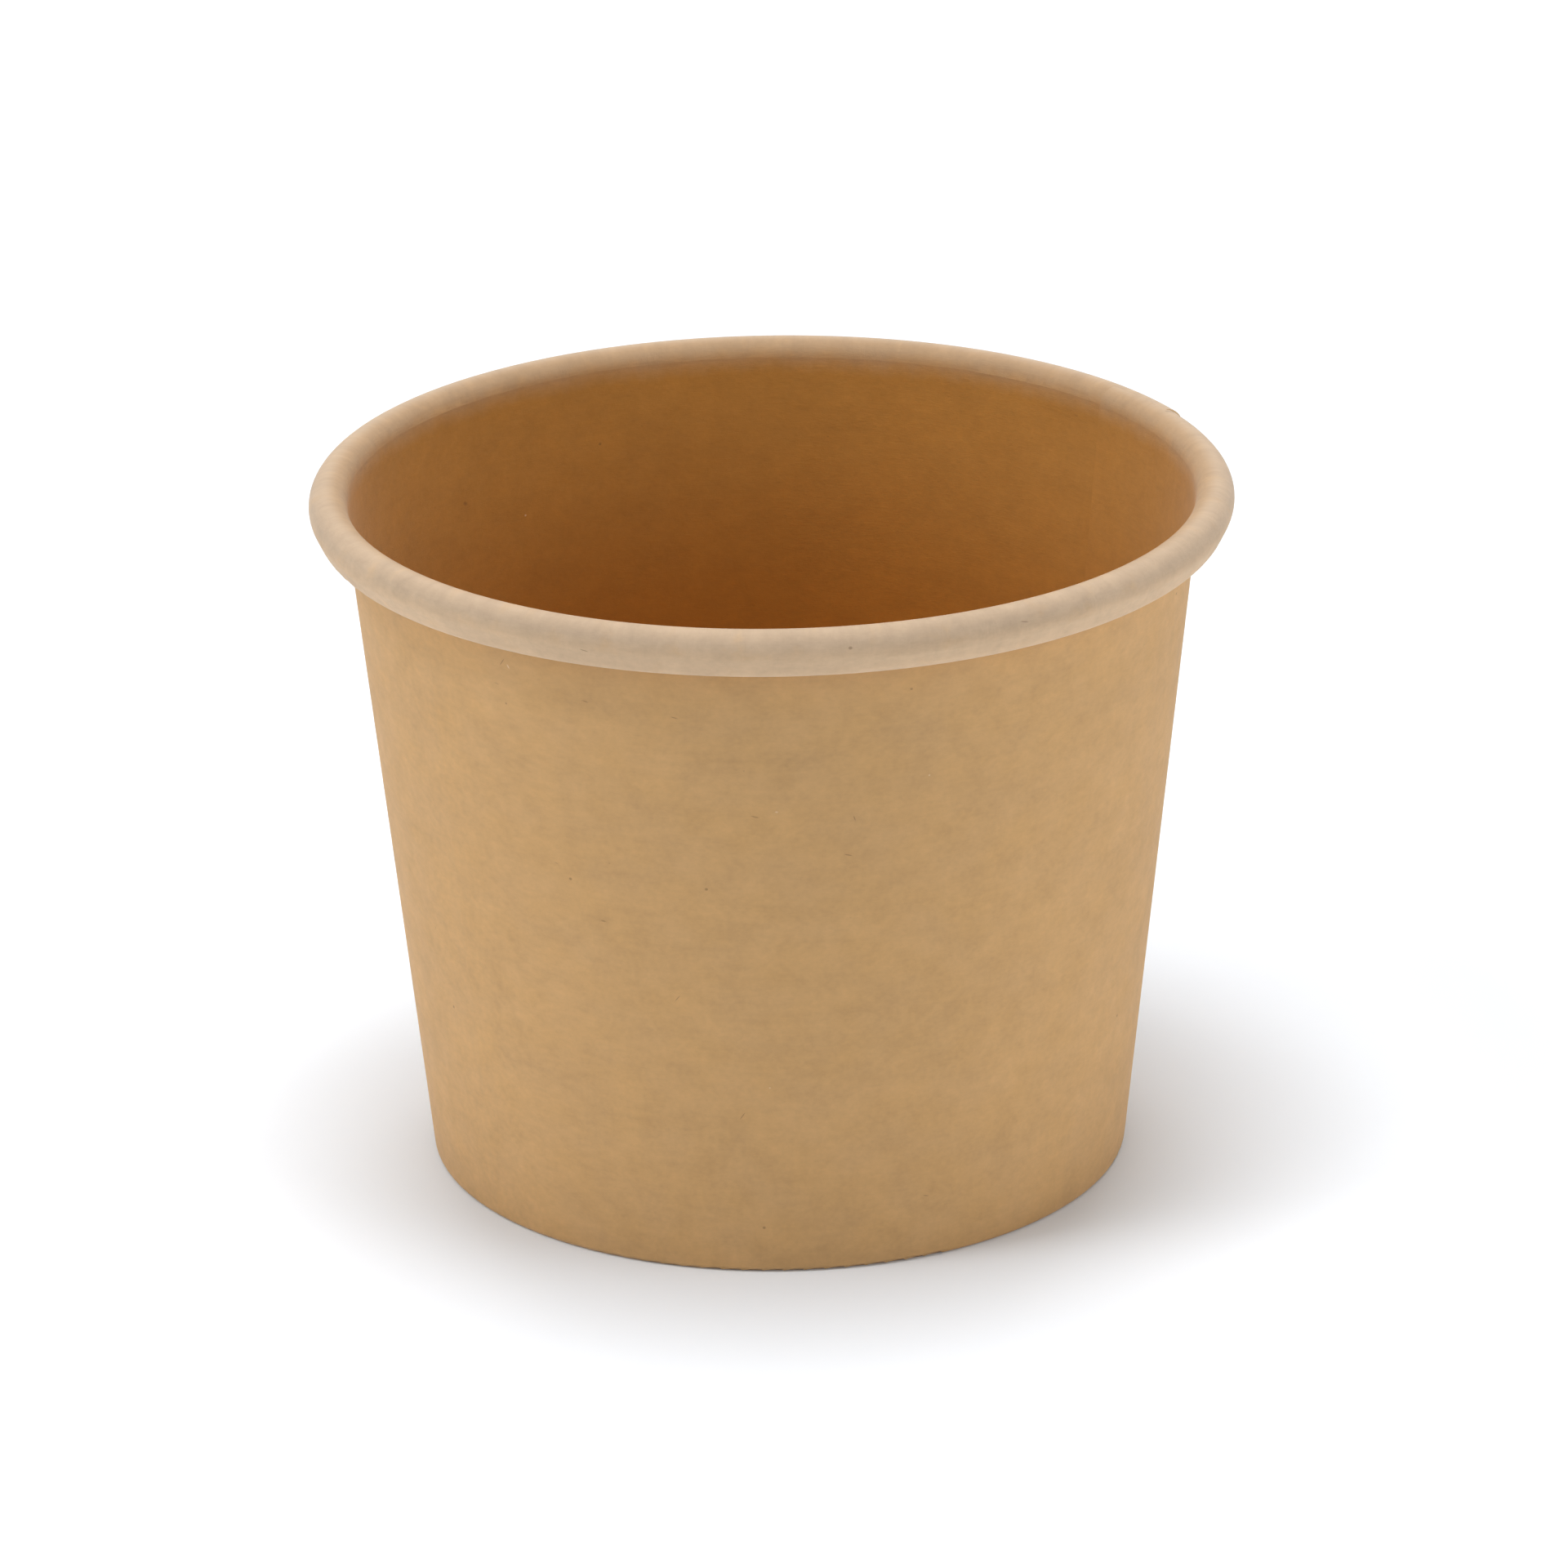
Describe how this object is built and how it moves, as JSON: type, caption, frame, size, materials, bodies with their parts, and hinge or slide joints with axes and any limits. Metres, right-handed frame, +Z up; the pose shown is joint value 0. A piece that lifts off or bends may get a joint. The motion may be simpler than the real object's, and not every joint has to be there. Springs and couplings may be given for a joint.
{
  "type": "paper portion cup",
  "caption": "Small tapered kraft paper cup with an outward rolled rim, a lapped side seam and a recessed base disc held by a folded hem.",
  "frame": {"origin": "on the table under the middle of the cup", "axes": "+Z up along the cup's axis, -Y towards the picture's viewer, +X to the viewer's right"},
  "size_m": [0.07, 0.0702, 0.0538],
  "materials": {
    "wall_board": "matte",
    "base_board": "matte"
  },
  "bodies": {
    "root": {"side_wall": "wall_board", "base_disc": "base_board"}
  },
  "joints": []
}
